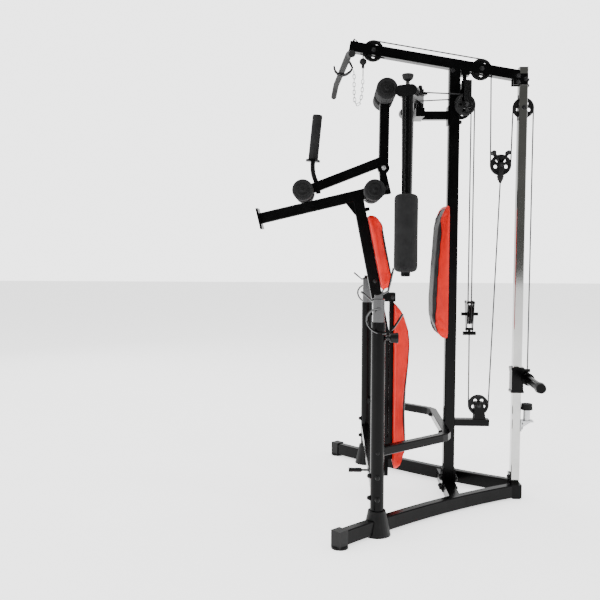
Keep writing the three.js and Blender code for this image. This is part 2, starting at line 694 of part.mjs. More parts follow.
function benchBracket() {
  const plates = [[25.8, 31], [-31, -25.8]].map((x) => box(x, [-349.7, -284], [96, 278]));
  const front = box([-31, 31], [-349.7, -343], [96, 142]);
  const bush = rod([0, -368, 112], [0, -345, 112], 11, 11, 16);
  const whole = join(...plates, front, bush, xRod(BENCH_PIVOT, 36, 8));
  return cut(whole, rod([0, -400, 112], [0, -338, 112], 5.6, 5.6, 16));
}

function pullPin() {
  const grip = rod([0, -468, 112], [0, -408, 112], 11, 9, 16);
  return join(rod([0, -412, 112], [0, -336.6, 112], 5, 5, 14), grip);
}

function seatPad() {
  const profile = [[0, -188], [40, -188], [47, -178], [47, 142], [40, 158], [30, 166], [0, 167]];
  const lean = Math.atan(RAIL_LEAN);
  const pad = sidePlate(profile, [-135, 135]).rotateX(lean);
  return pad.translate(0, railY(1144) + 26.3, 1150);
}

function backrestFrame() {
  const spine = box([-20, 20], [-284.2, -264.5], [172, 926]);
  const knuckle = xRod(BACKREST_HINGE, 23, 11, 20);
  return cut(join(spine, knuckle), xRod(BACKREST_HINGE, 40, 5.5, 16));
}

function backrestPad() {
  const face = -264;
  const lower = [[-242, 141], [-226, 160], [-217, 260], [-221, 400], [-217, 520], [-207, 640]];
  const upper = [[-204, 720], [-209, 800], [-221, 866], [-237, 900], [-250, 910]];
  const profile = [[face, 140], ...lower, ...upper, [face, 912]];
  return sidePlate(profile, [-135, 135]);
}

add('bench_bracket', benchBracket(), BLACK);
add('bench_pin', pullPin(), PLASTIC);
add('bench_rail', benchRail(), BLACK);
add('seat_pad', seatPad(), RED);
add('backrest_frame', backrestFrame(), BLACK);
add('backrest_pad', backrestPad(), RED);

// ---------------------------------------------------------------- leg developer
const GRIP_LENGTH = 198;

// A point along the tilted axis of the upright handle.
function grip(along) {
  return [0, -642 + 0.0986 * along, 1568 + 0.9951 * along];
}

function legLever() {
  const half = LEVER_TUBE / 2;
  const section = squareSection(LEVER_TUBE, LEVER_TUBE);
  const upper = sweep(section, [[0, ...LEVER_PIVOT], [0, UPPER_BAR[0], UPPER_BAR[1] + 12]]);
  const lower = sweep(section, [[0, ...LEVER_ELBOW], [0, LOWER_BAR[0] - 12, LOWER_BAR[1] - 4]]);
  const hub = xRod(LEVER_PIVOT, half, 27, 24);
  const bars = [UPPER_BAR, LOWER_BAR].map((at) => xRod(at, 176, BAR_R, 16));
  const handle = smooth([[0, -616, 1412], [0, -622, 1450], [0, -640, 1500], [0, -644, 1535], [0, -642.5, 1564]]);
  const flange = rod(grip(-10), grip(0), 33, 33, 20);
  const core = rod(grip(-5), grip(GRIP_LENGTH), 9, 9, 12);
  const whole = join(upper, lower, hub, ...bars, sweepCurve(roundSection(11, 8), handle, 8), flange, core);
  return cut(whole, xRod(LEVER_PIVOT, 40, 7.5, 20));
}

function foamGrip() {
  const body = rod(grip(GAP), grip(GRIP_LENGTH + 8), 23, 23, 20);
  return cut(body, rod(grip(-5), grip(GRIP_LENGTH + GAP), 9 + GAP, 9 + GAP, 12));
}

function foamRoller() {
  return ring(BAR_R + 0.4, ROLLER_R, ROLLER_INNER, ROLLER_OUTER, 24).rotateY(Math.PI / 2);
}

add('leg_lever', legLever(), BLACK);
add('lever_grip', foamGrip(), FOAM);
for (const [place, at] of Object.entries({ upper: UPPER_BAR, lower: LOWER_BAR, knee: KNEE_BAR })) {
  for (const [name, side] of Object.entries(SIDES)) {
    const turned = side > 0 ? [0, 0, 0] : [0, 0, Math.PI];
    add(`${name}_${place}_roller`, foamRoller(), FOAM, { at: [0, ...at], turned });
  }
}

// ---------------------------------------------------------------- origin
gym.updateMatrixWorld(true);
const whole = new THREE.Box3().setFromObject(gym, true);
gym.position.y = -(whole.min.y + whole.max.y) / 2;

export default gym;
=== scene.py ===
"""Multi station home gym: the looks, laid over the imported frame.

Places are written in millimetres from the main upright's foot, and spot() turns them into metres.
Sizes of turned and bevelled pieces are in millimetres too. X runs across the gym, +Z is up, and +Y
is the way from the upright to the chrome post.
"""
import math

import bmesh
import bpy
from mathutils import Matrix, Vector
from mathutils.bvhtree import BVHTree


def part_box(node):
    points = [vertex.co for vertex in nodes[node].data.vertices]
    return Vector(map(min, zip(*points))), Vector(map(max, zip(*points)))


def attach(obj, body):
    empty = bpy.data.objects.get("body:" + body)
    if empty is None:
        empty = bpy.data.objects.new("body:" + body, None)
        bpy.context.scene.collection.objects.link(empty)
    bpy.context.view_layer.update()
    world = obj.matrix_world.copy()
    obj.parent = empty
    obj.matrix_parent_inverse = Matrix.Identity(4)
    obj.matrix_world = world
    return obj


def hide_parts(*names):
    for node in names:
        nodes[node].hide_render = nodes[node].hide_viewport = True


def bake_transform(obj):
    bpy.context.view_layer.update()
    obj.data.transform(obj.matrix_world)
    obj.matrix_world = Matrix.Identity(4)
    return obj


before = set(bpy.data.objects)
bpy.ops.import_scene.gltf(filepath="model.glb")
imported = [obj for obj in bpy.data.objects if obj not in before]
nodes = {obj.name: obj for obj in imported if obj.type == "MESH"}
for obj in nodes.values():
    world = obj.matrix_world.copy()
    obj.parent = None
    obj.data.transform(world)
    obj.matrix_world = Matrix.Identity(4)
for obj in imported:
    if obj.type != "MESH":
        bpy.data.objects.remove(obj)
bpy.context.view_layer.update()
scene = bpy.context.scene

MM = 0.001
POST_FROM_UPRIGHT = 0.310
POST_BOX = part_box("chrome_post")
UPRIGHT_Y = (POST_BOX[0][1] + POST_BOX[1][1]) / 2 - POST_FROM_UPRIGHT

X_AXIS = Vector((1, 0, 0))
Y_AXIS = Vector((0, 1, 0))
Z_AXIS = Vector((0, 0, 1))
SIDES = (("left", 1), ("right", -1))


def spot(x, y, z):
    return Vector((x * MM, y * MM + UPRIGHT_Y, z * MM))


def middle(node):
    low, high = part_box(node)
    return (Vector(low) + Vector(high)) / 2


# ---------------------------------------------------------------- camera, floor and light
CAMERA_PLACE = (3763, -549, 1190)
CAMERA_YAW = math.radians(-2.311)
CAMERA_PITCH = math.radians(4.133)
CAMERA_ROLL = math.radians(0.150)
CAMERA_LENS = 48.38


def add_camera():
    level = math.cos(CAMERA_PITCH)
    forward = Vector((-math.cos(CAMERA_YAW) * level, math.sin(CAMERA_YAW) * level, -math.sin(CAMERA_PITCH)))
    flat_right = Vector((math.sin(CAMERA_YAW), math.cos(CAMERA_YAW), 0))
    flat_up = flat_right.cross(forward)
    right = flat_right * math.cos(CAMERA_ROLL) + flat_up * math.sin(CAMERA_ROLL)
    up = right.cross(forward)
    camera = bpy.data.objects.new("camera", bpy.data.cameras.new("camera"))
    camera.data.lens = CAMERA_LENS
    camera.data.sensor_width = 36
    turn = Matrix((right, up, -forward)).transposed().to_4x4()
    camera.matrix_world = Matrix.Translation(spot(*CAMERA_PLACE)) @ turn
    scene.collection.objects.link(camera)
    scene.camera = camera


def add_light(name, place, target, size, power):
    lamp = bpy.data.lights.new(name, "AREA")
    lamp.shape = "RECTANGLE"
    lamp.size, lamp.size_y = size
    lamp.energy = power
    obj = bpy.data.objects.new(name, lamp)
    obj.location = place
    obj.rotation_euler = (Vector(target) - Vector(place)).to_track_quat("-Z", "Y").to_euler()
    scene.collection.objects.link(obj)


BEHIND_GLOW = (1.5, 1.5, 1.5, 1)
FRONT_GLOW = (0.17, 0.17, 0.16, 1)
BACKDROP_STRENGTH = 3.4


def add_world():
    """A plain white backdrop; as light it is bright on the -X side and dim on the +X side."""
    world = bpy.data.worlds.new("studio")
    world.use_nodes = True
    tree = world.node_tree
    tree.nodes.clear()
    output = tree.nodes.new("ShaderNodeOutputWorld")
    light = tree.nodes.new("ShaderNodeBackground")
    backdrop = tree.nodes.new("ShaderNodeBackground")
    ray = tree.nodes.new("ShaderNodeLightPath")
    choice = tree.nodes.new("ShaderNodeMixShader")
    coords = tree.nodes.new("ShaderNodeTexCoord")
    split = tree.nodes.new("ShaderNodeSeparateXYZ")
    spread = tree.nodes.new("ShaderNodeMapRange")
    spread.inputs["From Min"].default_value = -1
    ramp = tree.nodes.new("ShaderNodeValToRGB")
    ramp.color_ramp.elements[0].position = 0.3
    ramp.color_ramp.elements[0].color = BEHIND_GLOW
    ramp.color_ramp.elements[1].position = 0.72
    ramp.color_ramp.elements[1].color = FRONT_GLOW
    tree.links.new(coords.outputs["Generated"], split.inputs[0])
    tree.links.new(split.outputs["X"], spread.inputs["Value"])
    tree.links.new(spread.outputs["Result"], ramp.inputs["Fac"])
    tree.links.new(ramp.outputs["Color"], light.inputs["Color"])
    tree.links.new(ray.outputs["Is Camera Ray"], choice.inputs["Fac"])
    tree.links.new(light.outputs[0], choice.inputs[1])
    tree.links.new(backdrop.outputs[0], choice.inputs[2])
    tree.links.new(choice.outputs[0], output.inputs["Surface"])
    light.inputs["Strength"].default_value = 1.0
    backdrop.inputs["Color"].default_value = (1, 1, 1, 1)
    backdrop.inputs["Strength"].default_value = BACKDROP_STRENGTH
    scene.world = world


# ---------------------------------------------------------------- materials
def new_material(name, colour, roughness, metallic=0.0, specular=0.5):
    material = bpy.data.materials.new(name)
    material.use_nodes = True
    shader = material.node_tree.nodes["Principled BSDF"]
    shader.inputs["Base Color"].default_value = (*colour, 1)
    shader.inputs["Roughness"].default_value = roughness
    shader.inputs["Metallic"].default_value = metallic
    shader.inputs["Specular IOR Level"].default_value = specular
    return material, material.node_tree, shader


def texture(tree, kind, scale, **settings):
    coords = tree.nodes.get("coords") or tree.nodes.new("ShaderNodeTexCoord")
    coords.name = "coords"
    node = tree.nodes.new(kind)
    node.inputs["Scale"].default_value = scale
    for key, value in settings.items():
        node.inputs[key].default_value = value
    tree.links.new(coords.outputs["Object"], node.inputs["Vector"])
    return node


def ramp_between(tree, factor, low, high, start=0.35, end=0.65):
    ramp = tree.nodes.new("ShaderNodeValToRGB")
    ramp.color_ramp.elements[0].position = start
    ramp.color_ramp.elements[0].color = (*low, 1)
    ramp.color_ramp.elements[1].position = end
    ramp.color_ramp.elements[1].color = (*high, 1)
    tree.links.new(factor, ramp.inputs["Fac"])
    return ramp.outputs["Color"]


def vary_colour(tree, shader, factor, low, high):
    tree.links.new(ramp_between(tree, factor, low, high), shader.inputs["Base Color"])


def vary_roughness(tree, shader, factor, low, high):
    spread = tree.nodes.new("ShaderNodeMapRange")
    spread.inputs["To Min"].default_value = low
    spread.inputs["To Max"].default_value = high
    tree.links.new(factor, spread.inputs["Value"])
    tree.links.new(spread.outputs["Result"], shader.inputs["Roughness"])


def add_bumps(tree, shader, layers):
    """layers: (height output, strength, distance in metres), coarsest first."""
    normal = None
    for height, strength, distance in layers:
        bump = tree.nodes.new("ShaderNodeBump")
        bump.inputs["Strength"].default_value = strength
        bump.inputs["Distance"].default_value = distance
        tree.links.new(height, bump.inputs["Height"])
        if normal:
            tree.links.new(normal, bump.inputs["Normal"])
        normal = bump.outputs["Normal"]
    tree.links.new(normal, shader.inputs["Normal"])


def powder_coat(name, colour=(0.001, 0.001, 0.0011), roughness=0.19):
    """Satin powder coat: fine orange peel, faint handling marks."""
    material, tree, shader = new_material(name, colour, roughness, specular=0.09)
    peel = texture(tree, "ShaderNodeTexNoise", 900, Detail=2)
    marks = texture(tree, "ShaderNodeTexNoise", 14, Detail=6, Roughness=0.65)
    lighter = tuple(min(1, c * 1.5 + 0.0005) for c in colour)
    vary_colour(tree, shader, marks.outputs["Fac"], colour, lighter)
    vary_roughness(tree, shader, marks.outputs["Fac"], roughness - 0.05, roughness + 0.08)
    add_bumps(tree, shader, [(peel.outputs["Fac"], 0.25, 0.00012)])
    return material


def plated(name, colour, roughness, brushed=0.0):
    """Chrome or zinc: faint clouding in the polish, and drawn lines where it is brushed."""
    material, tree, shader = new_material(name, colour, roughness, 1.0)
    cloud = texture(tree, "ShaderNodeTexNoise", 9, Detail=5, Roughness=0.6)
    fine = texture(tree, "ShaderNodeTexNoise", 380, Detail=3)
    vary_roughness(tree, shader, cloud.outputs["Fac"], roughness * 0.6, roughness * 1.6)
    vary_colour(tree, shader, cloud.outputs["Fac"], tuple(c * 0.86 for c in colour), colour)
    add_bumps(tree, shader, [(fine.outputs["Fac"], 0.04 + brushed, 0.0001)])
    return material


def moulded(name, colour, roughness, scale=1300, strength=0.35):
    """Injection moulded plastic or rubber with a spark-eroded grain."""
    material, tree, shader = new_material(name, colour, roughness, specular=0.16)
    grain = texture(tree, "ShaderNodeTexVoronoi", scale)
    patch = texture(tree, "ShaderNodeTexNoise", 22, Detail=4)
    vary_colour(tree, shader, patch.outputs["Fac"], colour, tuple(c * 1.4 + 0.001 for c in colour))
    vary_roughness(tree, shader, patch.outputs["Fac"], roughness - 0.06, roughness + 0.08)
    add_bumps(tree, shader, [(grain.outputs["Distance"], strength, 0.00012)])
    return material


def leatherette(name, colour, darker):
    """Vinyl upholstery: pebbled grain, soft creases and a slight change of tone."""
    material, tree, shader = new_material(name, colour, 0.46, specular=0.22)
    pebble = texture(tree, "ShaderNodeTexVoronoi", 720, Randomness=0.85)
    pore = texture(tree, "ShaderNodeTexNoise", 1900, Detail=2)
    crease = texture(tree, "ShaderNodeTexNoise", 17, Detail=5, Roughness=0.55, Distortion=0.6)
    vary_colour(tree, shader, crease.outputs["Fac"], darker, colour)
    vary_roughness(tree, shader, crease.outputs["Fac"], 0.38, 0.56)
    heights = [(crease.outputs["Fac"], 0.25, 0.0018), (pebble.outputs["Distance"], 0.4, 0.0003)]
    add_bumps(tree, shader, heights + [(pore.outputs["Fac"], 0.15, 0.0001)])
    return material


def closed_cell_foam(name):
    material, tree, shader = new_material(name, (0.008, 0.008, 0.0085), 0.8, specular=0.2)
    cells = texture(tree, "ShaderNodeTexVoronoi", 620, Randomness=1.0)
    waves = texture(tree, "ShaderNodeTexNoise", 30, Detail=4)
    vary_colour(tree, shader, waves.outputs["Fac"], (0.006, 0.006, 0.0065), (0.012, 0.012, 0.0125))
    vary_roughness(tree, shader, waves.outputs["Fac"], 0.72, 0.9)
    heights = [(waves.outputs["Fac"], 0.3, 0.0012), (cells.outputs["Distance"], 0.7, 0.0005)]
    add_bumps(tree, shader, heights)
    return material


def floor_material():
    material, tree, shader = new_material("studio_floor", (0.9, 0.9, 0.9), 0.75, specular=0.0)
    shader.inputs["Emission Color"].default_value = (1, 1, 1, 1)
    shader.inputs["Emission Strength"].default_value = 1.5
    patch = texture(tree, "ShaderNodeTexNoise", 2, Detail=3)
    vary_colour(tree, shader, patch.outputs["Fac"], (0.89, 0.89, 0.89), (0.91, 0.91, 0.91))
    return material


BLACK = powder_coat("black_powder_coat")
CHROME = plated("bright_chrome", (0.46, 0.46, 0.45), 0.07)
ZINC = plated("zinc_plate", (0.52, 0.53, 0.54), 0.3, 0.12)
DARK_CHROME = plated("nickel_chrome", (0.10, 0.10, 0.102), 0.1)
BLACKED = plated("blackened_steel", (0.035, 0.035, 0.036), 0.34, 0.1)
PLASTIC = moulded("black_plastic", (0.004, 0.004, 0.0042), 0.42)
NYLON = moulded("pulley_nylon", (0.004, 0.004, 0.0042), 0.34, 1700, 0.2)
RUBBER = moulded("black_rubber", (0.004, 0.004, 0.004), 0.7, 800, 0.5)
RED = leatherette("red_leatherette", (0.66, 0.006, 0.0008), (0.52, 0.004, 0.0005))
GREY = leatherette("grey_leatherette", (0.02, 0.02, 0.021), (0.012, 0.012, 0.013))
FOAM = closed_cell_foam("foam")
CABLE = moulded("cable_jacket", (0.008, 0.008, 0.0085), 0.4, 2500, 0.2)


# ---------------------------------------------------------------- mesh tools
def link(name, mesh, material, body, matrix=None, sharp=35):
    if not mesh.materials:
        mesh.materials.append(material)
    mesh.shade_smooth()
    mesh.set_sharp_from_angle(angle=math.radians(sharp))
    obj = bpy.data.objects.new(name, mesh)
    if matrix:
        obj.matrix_world = matrix
    scene.collection.objects.link(obj)
    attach(obj, body)
    return obj


def from_bmesh(name, bm):
    bmesh.ops.recalc_face_normals(bm, faces=bm.faces)
    mesh = bpy.data.meshes.new(name)
    bm.to_mesh(mesh)
    bm.free()
    return mesh


def soften(points, size, steps=4):
    """Rounds the inner corners of a profile by up to size."""
    points = [Vector(p) for p in points]
    out = [points[0]]
    for before, here, after in zip(points, points[1:], points[2:]):
        into = here - before
        away = after - here
        reach = min(size, into.length / 2, away.length / 2)
        start = here - into.normalized() * reach
        end = here + away.normalized() * reach
        for i in range(steps + 1):
            t = i / steps
            out.append(start * (1 - t) ** 2 + here * 2 * t * (1 - t) + end * t ** 2)
    out.append(points[-1])
    return out


def turned(name, profile, segments=48, flutes=0, depth=0.0, size=0.8):
    """A turned piece about Z; profile is (radius, height) pairs in millimetres, from axis to axis."""
    bm = bmesh.new()
    rings = []
    for radius, height in soften(profile, size):
        if radius < 1e-4:
            rings.append([bm.verts.new((0, 0, height * MM))])
            continue
        ring = []
        for i in range(segments):
            a = 2 * math.pi * i / segments
            r = radius * (1 - depth * (0.5 - 0.5 * math.cos(flutes * a))) * MM
            ring.append(bm.verts.new((r * math.cos(a), r * math.sin(a), height * MM)))
        rings.append(ring)
    for a, b in zip(rings, rings[1:]):
        if len(a) == 1 and len(b) == 1:
            continue
        for i in range(segments):
            j = (i + 1) % segments
            corners = [a[i % len(a)], a[j % len(a)], b[j % len(b)], b[i % len(b)]]
            bm.faces.new(list(dict.fromkeys(corners)))
    return from_bmesh(name, bm)


def ring_piece(name, profile, segments=48, size=0.8):
    """A turned piece with a hole: the closed profile never meets the axis."""
    bm = bmesh.new()
    points = soften(list(profile) + [profile[0]], size)
    rings = []
    for radius, height in points:
        step = 2 * math.pi / segments
        places = [(radius * math.cos(i * step), radius * math.sin(i * step), height) for i in range(segments)]
        rings.append([bm.verts.new(Vector(place) * MM) for place in places])
    for a, b in zip(rings, rings[1:]):
        for i in range(segments):
            j = (i + 1) % segments
            bm.faces.new((a[i], a[j], b[j], b[i]))
    bmesh.ops.remove_doubles(bm, verts=bm.verts, dist=1e-6)
    return from_bmesh(name, bm)


def facing(place, axis):
    """Places a piece made about Z with its Z along axis."""
    turn = Z_AXIS.rotation_difference(Vector(axis)).to_matrix().to_4x4()
    return Matrix.Translation(place) @ turn


def wire_mesh(name, points, radius, closed=False, sides=3):
    """A round wire through points in scene metres; radius in millimetres."""
    curve = bpy.data.curves.new(name, "CURVE")
    curve.dimensions = "3D"
    curve.bevel_depth = radius * MM
    curve.bevel_resolution = sides
    curve.use_fill_caps = True
    spline = curve.splines.new("POLY")
    spline.points.add(len(points) - 1)
    for point, place in zip(spline.points, points):
        point.co = (*place, 1)
    spline.use_cyclic_u = closed
    holder = bpy.data.objects.new(name, curve)
    scene.collection.objects.link(holder)
    mesh = bpy.data.meshes.new_from_object(holder.evaluated_get(bpy.context.evaluated_depsgraph_get()))
    bpy.data.objects.remove(holder)
    bpy.data.curves.remove(curve)
    return mesh


def eased(points, per_span=8):
    """A Catmull-Rom path through the points."""
    points = [Vector(p) for p in points]
    padded = [points[0] * 2 - points[1]] + points + [points[-1] * 2 - points[-2]]
    out = []
    for a, b, c, d in zip(padded, padded[1:], padded[2:], padded[3:]):
        for i in range(per_span):
            t = i / per_span
            out.append(0.5 * (2 * b + (c - a) * t + (2 * a - 5 * b + 4 * c - d) * t * t
                              + (3 * b - a - 3 * c + d) * t ** 3))
    out.append(points[-1])
    return out


def gathered(name, parts):
    """One mesh from (mesh, matrix) pairs."""
    bm = bmesh.new()
    for mesh, matrix in parts:
        known = len(bm.verts)
        bm.from_mesh(mesh)
        bm.verts.ensure_lookup_table()
        bmesh.ops.transform(bm, matrix=matrix, verts=bm.verts[known:])
    out = bpy.data.meshes.new(name)
    bm.to_mesh(out)
    bm.free()
    return out


def bevelled_box(name, size, edge, segments=3):
    bm = bmesh.new()
    bmesh.ops.create_cube(bm, size=1)
    bmesh.ops.scale(bm, vec=Vector(size) * MM, verts=bm.verts)
    bmesh.ops.bevel(bm, geom=bm.edges[:], offset=edge * MM, segments=segments, profile=0.5, affect="EDGES")
    return from_bmesh(name, bm)


# ---------------------------------------------------------------- upholstery
class Pad:
    """A stuffed pad that starts from its CAD solid: out is the way its sitting face looks."""

    CORNER = 0.042
    SHRINK = 0.006
    VOXEL = 0.0055
    SWELL = 0.008
    PRESSURE = 4
    FRAMES = 18
    SQUARENESS = 7.0

    def __init__(self, node, body, out, up):
        self.node, self.body = node, body
        self.out, self.up = Vector(out).normalized(), Vector(up).normalized()
        self.mesh = nodes[node].data.copy()
        self.centre = middle(node)
        self.low, self.high = self.reach(self.up)
        self.back, self.front = self.reach(self.out)
        self.half = max(abs(v.co.x) for v in self.mesh.vertices)

    def reach(self, axis):
        along = [v.co.dot(axis) for v in self.mesh.vertices]
        return min(along), max(along)

    def rounded_half(self, along, half, corner):
        """Half the pad's width at a height, with rounded corners in its outline."""
        depth = min(along - self.low, self.high - along)
        if depth >= corner:
            return half
        drop = corner - max(depth, 0)
        return half - corner + math.sqrt(max(corner ** 2 - drop ** 2, 0))

    def shape(self):
        obj = bpy.data.objects.new(self.node + "_cover", self.mesh)
        scene.collection.objects.link(obj)
        bpy.context.view_layer.objects.active = obj
        obj.select_set(True)
        remesh = obj.modifiers.new("voxels", "REMESH")
        remesh.mode = "VOXEL"
        remesh.voxel_size = self.VOXEL
        bpy.ops.object.modifier_apply(modifier="voxels")
        middle_up = (self.low + self.high) / 2
        for v in obj.data.vertices:
            along = v.co.dot(self.up)
            width = self.rounded_half(along, self.half, self.CORNER) / self.half
            across = 1 - self.SHRINK / self.half
            v.co.x *= max(width, 0.3) * across
            squeeze = (middle_up - along) * (2 * self.SHRINK / (self.high - self.low))
            v.co += self.up * squeeze
            lift = v.co.dot(self.out) - self.back
            crown = (self.front - self.back) * 0.16
            edge = max(abs(v.co.x) / self.half, abs(along - middle_up) * 2 / (self.high - self.low))
            v.co -= self.out * min(lift, crown * max(edge, 0) ** 6 * min(lift / 0.02, 1))
        smooth = obj.modifiers.new("relax", "SMOOTH")
        smooth.factor = 0.6
        smooth.iterations = 8
        bpy.ops.object.modifier_apply(modifier="relax")
        return obj

    def inflate(self, obj):
        """Cloth with pressure, held where it lies on its board; no point moves more than SWELL."""
        start = [v.co.copy() for v in obj.data.vertices]
        board = obj.vertex_groups.new(name="board")
        held = [v.index for v in obj.data.vertices if v.co.dot(self.out) - self.back < 0.008]
        board.add(held, 1.0, "REPLACE")
        cloth = obj.modifiers.new("stuffing", "CLOTH")
        settings = cloth.settings
        settings.use_pressure = True
        settings.uniform_pressure_force = self.PRESSURE
        settings.vertex_group_mass = "board"
        settings.effector_weights.gravity = 0
        settings.quality = 4
        for f in range(1, self.FRAMES + 1):
            scene.frame_set(f)
        bpy.context.view_layer.update()
        final = obj.evaluated_get(bpy.context.evaluated_depsgraph_get()).to_mesh()
        moved = [v.co.copy() for v in final.vertices]
        obj.modifiers.remove(cloth)
        for v, a, b in zip(obj.data.vertices, start, moved):
            step = b - a
            if step.length > self.SWELL:
                step *= self.SWELL / step.length
            v.co = a + step
        obj.vertex_groups.clear()
        scene.frame_set(1)

    def panel_size(self, inset):
        margin = self.SHRINK + inset
        return self.half - margin, (self.high - self.low) / 2 - margin

    def outline(self, inset, count=120):
        """Points of a rounded rectangle inside the pad's edge, as (x, along) pairs."""
        half, tall = self.panel_size(inset)
        points = []
        for i in range(count):
            a = 2 * math.pi * i / count
            c, s = math.cos(a), math.sin(a)
            spread = abs(c / half) ** self.SQUARENESS + abs(s / tall) ** self.SQUARENESS
            reach = spread ** (-1 / self.SQUARENESS)
            points.append((c * reach, s * reach + (self.low + self.high) / 2))
        return points

    def on_face(self, tree, x, along):
        start = X_AXIS * x + self.up * along + self.out * (self.front + 0.1)
        hit = tree.ray_cast(start, -self.out)[0]
        return hit if hit else start - self.out * 0.12

    def trim(self, obj, inset):
        """The dark face panel, and the piping round it."""
        bm = bmesh.new()
        bm.from_mesh(obj.data)
        tree = BVHTree.FromBMesh(bm)
        bm.free()
        loop = [self.on_face(tree, x, along) for x, along in self.outline(inset)]
        piping = link(self.node + "_piping", wire_mesh("piping", loop, 2.6, closed=True), PLASTIC, self.body)
        half, tall = self.panel_size(inset)
        obj.data.materials.clear()
        obj.data.materials.append(RED)
        obj.data.materials.append(GREY)
        for face in obj.data.polygons:
            place = face.center
            x = abs(place.x / half) ** self.SQUARENESS
            z = abs((place.dot(self.up) - (self.low + self.high) / 2) / tall) ** self.SQUARENESS
            face.material_index = 1 if face.normal.dot(self.out) > 0.1 and x + z < 1 else 0

    def build(self, inset):
        obj = self.shape()
        self.inflate(obj)
        self.trim(obj, inset)
        subdivide = obj.modifiers.new("fine", "SUBSURF")
        subdivide.levels = subdivide.render_levels = 1
        bpy.context.view_layer.objects.active = obj
        bpy.ops.object.modifier_apply(modifier="fine")
        obj.data.shade_smooth()
        obj.select_set(False)
        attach(obj, self.body)
        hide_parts(self.node)


SEAT_LEAN = math.atan(0.2)


def upholster():
    seat_out = (0, math.cos(SEAT_LEAN), math.sin(SEAT_LEAN))
    seat_up = (0, -math.sin(SEAT_LEAN), math.cos(SEAT_LEAN))
    Pad("back_pad", "frame", -Y_AXIS, Z_AXIS).build(0.016)
    Pad("backrest_pad", "backrest", Y_AXIS, Z_AXIS).build(0.026)
    Pad("seat_pad", "bench", seat_out, seat_up).build(0.026)


# ---------------------------------------------------------------- foam rollers and pads
def foam_roll(node, body, axis, length, radius, bore, corner):
    """A foam sleeve with soft ends in place of a CAD roller or pad."""
    end = length / 2
    half = [(radius - 0.6, 0), (radius, end - corner), (radius - corner * 0.3, end - corner * 0.3),
            (radius - corner, end), (bore, end)]
    profile = [(r, -z) for r, z in reversed(half)] + half[1:]
    name = node + "_foam"
    obj = link(name, ring_piece(name, profile, 64, 6), FOAM, body, facing(middle(node), axis))
    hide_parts(node)


def end_cap_mesh():
    """Plastic plug for a roller: a dished disc with a ring of raised dots near its rim."""
    dish = [(0, -6), (30, -6), (31, -1), (30, 1.5), (24, 2.2), (12, 1.2), (8, 3.5), (0, 4.2)]
    disc = turned("cap", dish, 56)
    dot = turned("dot", [(0, 0.2), (2.2, 0.2), (1.6, 2.3), (0, 2.5)], 12, size=0.3)
    parts = [(disc, Matrix())]
    for i in range(12):
        a = 2 * math.pi * i / 12
        parts.append((dot, Matrix.Translation(Vector((19 * math.cos(a), 19 * math.sin(a), -0.2)) * MM)))
    return gathered("roller_cap", parts)


def rollers():
    cap = end_cap_mesh()
    for station in ("upper", "lower", "knee"):
        for name, side in SIDES:
            body = f"{name}_{station}"
            node = body + "_roller"
            low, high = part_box(node)
            foam_roll(node, body, X_AXIS, (high[0] - low[0]) / MM, 47, 10.4, 7)
            face = middle(node)
            face.x = (high[0] if side > 0 else low[0]) + side * 1.2 * MM
            link(node + "_cap", cap.copy(), PLASTIC, body, facing(face, X_AXIS * side))


def arm_pads():
    for name, _ in SIDES:
        node = f"{name}_arm_pad"
        low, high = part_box(node)
        foam_roll(node, f"{name}_pad", Z_AXIS, (high[2] - low[2]) / MM, 51, 21, 20)
        foot = middle(node)
        foot.z = low[2] - 16 * MM
        plug = turned("plug", [(0, -3), (17, -3), (20, 0), (20, 3), (0, 3)], 32)
        link(f"{name}_arm_plug", plug, PLASTIC, f"{name}_butterfly", facing(foot, Z_AXIS))


def lever_grip():
    """The ribbed foam sleeve on the lever's upright handle."""
    start, end = spot(0, -642, 1568.3), spot(0, -621.7, 1773)
    axis = (end - start).normalized()
    ribs = [(0, 0), (21, 0), (23, 3)]
    ribs += [(22.6 if i % 2 else 23, 8 + i * 6) for i in range(31)]
    ribs += [(23, 198), (20, 205), (0, 206)]
    mesh = turned("grip", ribs, 48, size=2)
    obj = link("lever_grip_foam", mesh, FOAM, "lever", facing(start, axis))
    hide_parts("lever_grip")


# ---------------------------------------------------------------- pulleys
def pulley_mesh():
    """A nylon wheel about Z: grooved rim, dished web with five windows, and a hub."""
    web = [(5.4, 10), (14, 10), (15.5, 5), (35, 3.6)]
    rim = [(38, 8), (46.6, 8.2), (48, 7.4), (42.4, 1.6)]
    upper = web + rim
    lower = [(radius, -height) for radius, height in upper]
    wheel = ring_piece("wheel", lower + [(41.4, 0)] + upper[::-1], 64, 0.7)
    obj = bpy.data.objects.new("wheel", wheel)
    scene.collection.objects.link(obj)
    bpy.context.view_layer.objects.active = obj
    window = turned("window", [(0, -20), (8.2, -20), (8.2, 20), (0, 20)], 24, size=0.01)
    out = Matrix.Translation((25.3 * MM, 0, 0))
    turns = [Matrix.Rotation(2 * math.pi * i / 5, 4, "Z") for i in range(5)]
    cutters = gathered("windows", [(window, turn @ out) for turn in turns])
    tool = bpy.data.objects.new("windows", cutters)
    scene.collection.objects.link(tool)
    cut = obj.modifiers.new("windows", "BOOLEAN")
    cut.object = tool
    cut.operation = "DIFFERENCE"
    bpy.ops.object.modifier_apply(modifier="windows")
    mesh = obj.data
    bpy.data.objects.remove(tool)
    bpy.data.objects.remove(obj)
    return mesh


SWIVEL_TURN = math.radians(15.3)
PULLEYS = (("front_pulley", "front_wheel"), ("rear_pulley", "rear_wheel"), ("post_pulley", "post_wheel"),
           ("low_pulley", "low_wheel"), ("rear_float_pulley", "rear_float_wheel"),
           ("front_float_pulley", "front_float_wheel"), ("left_swivel_pulley", "left_swivel_wheel"),
           ("right_swivel_pulley", "right_swivel_wheel"))


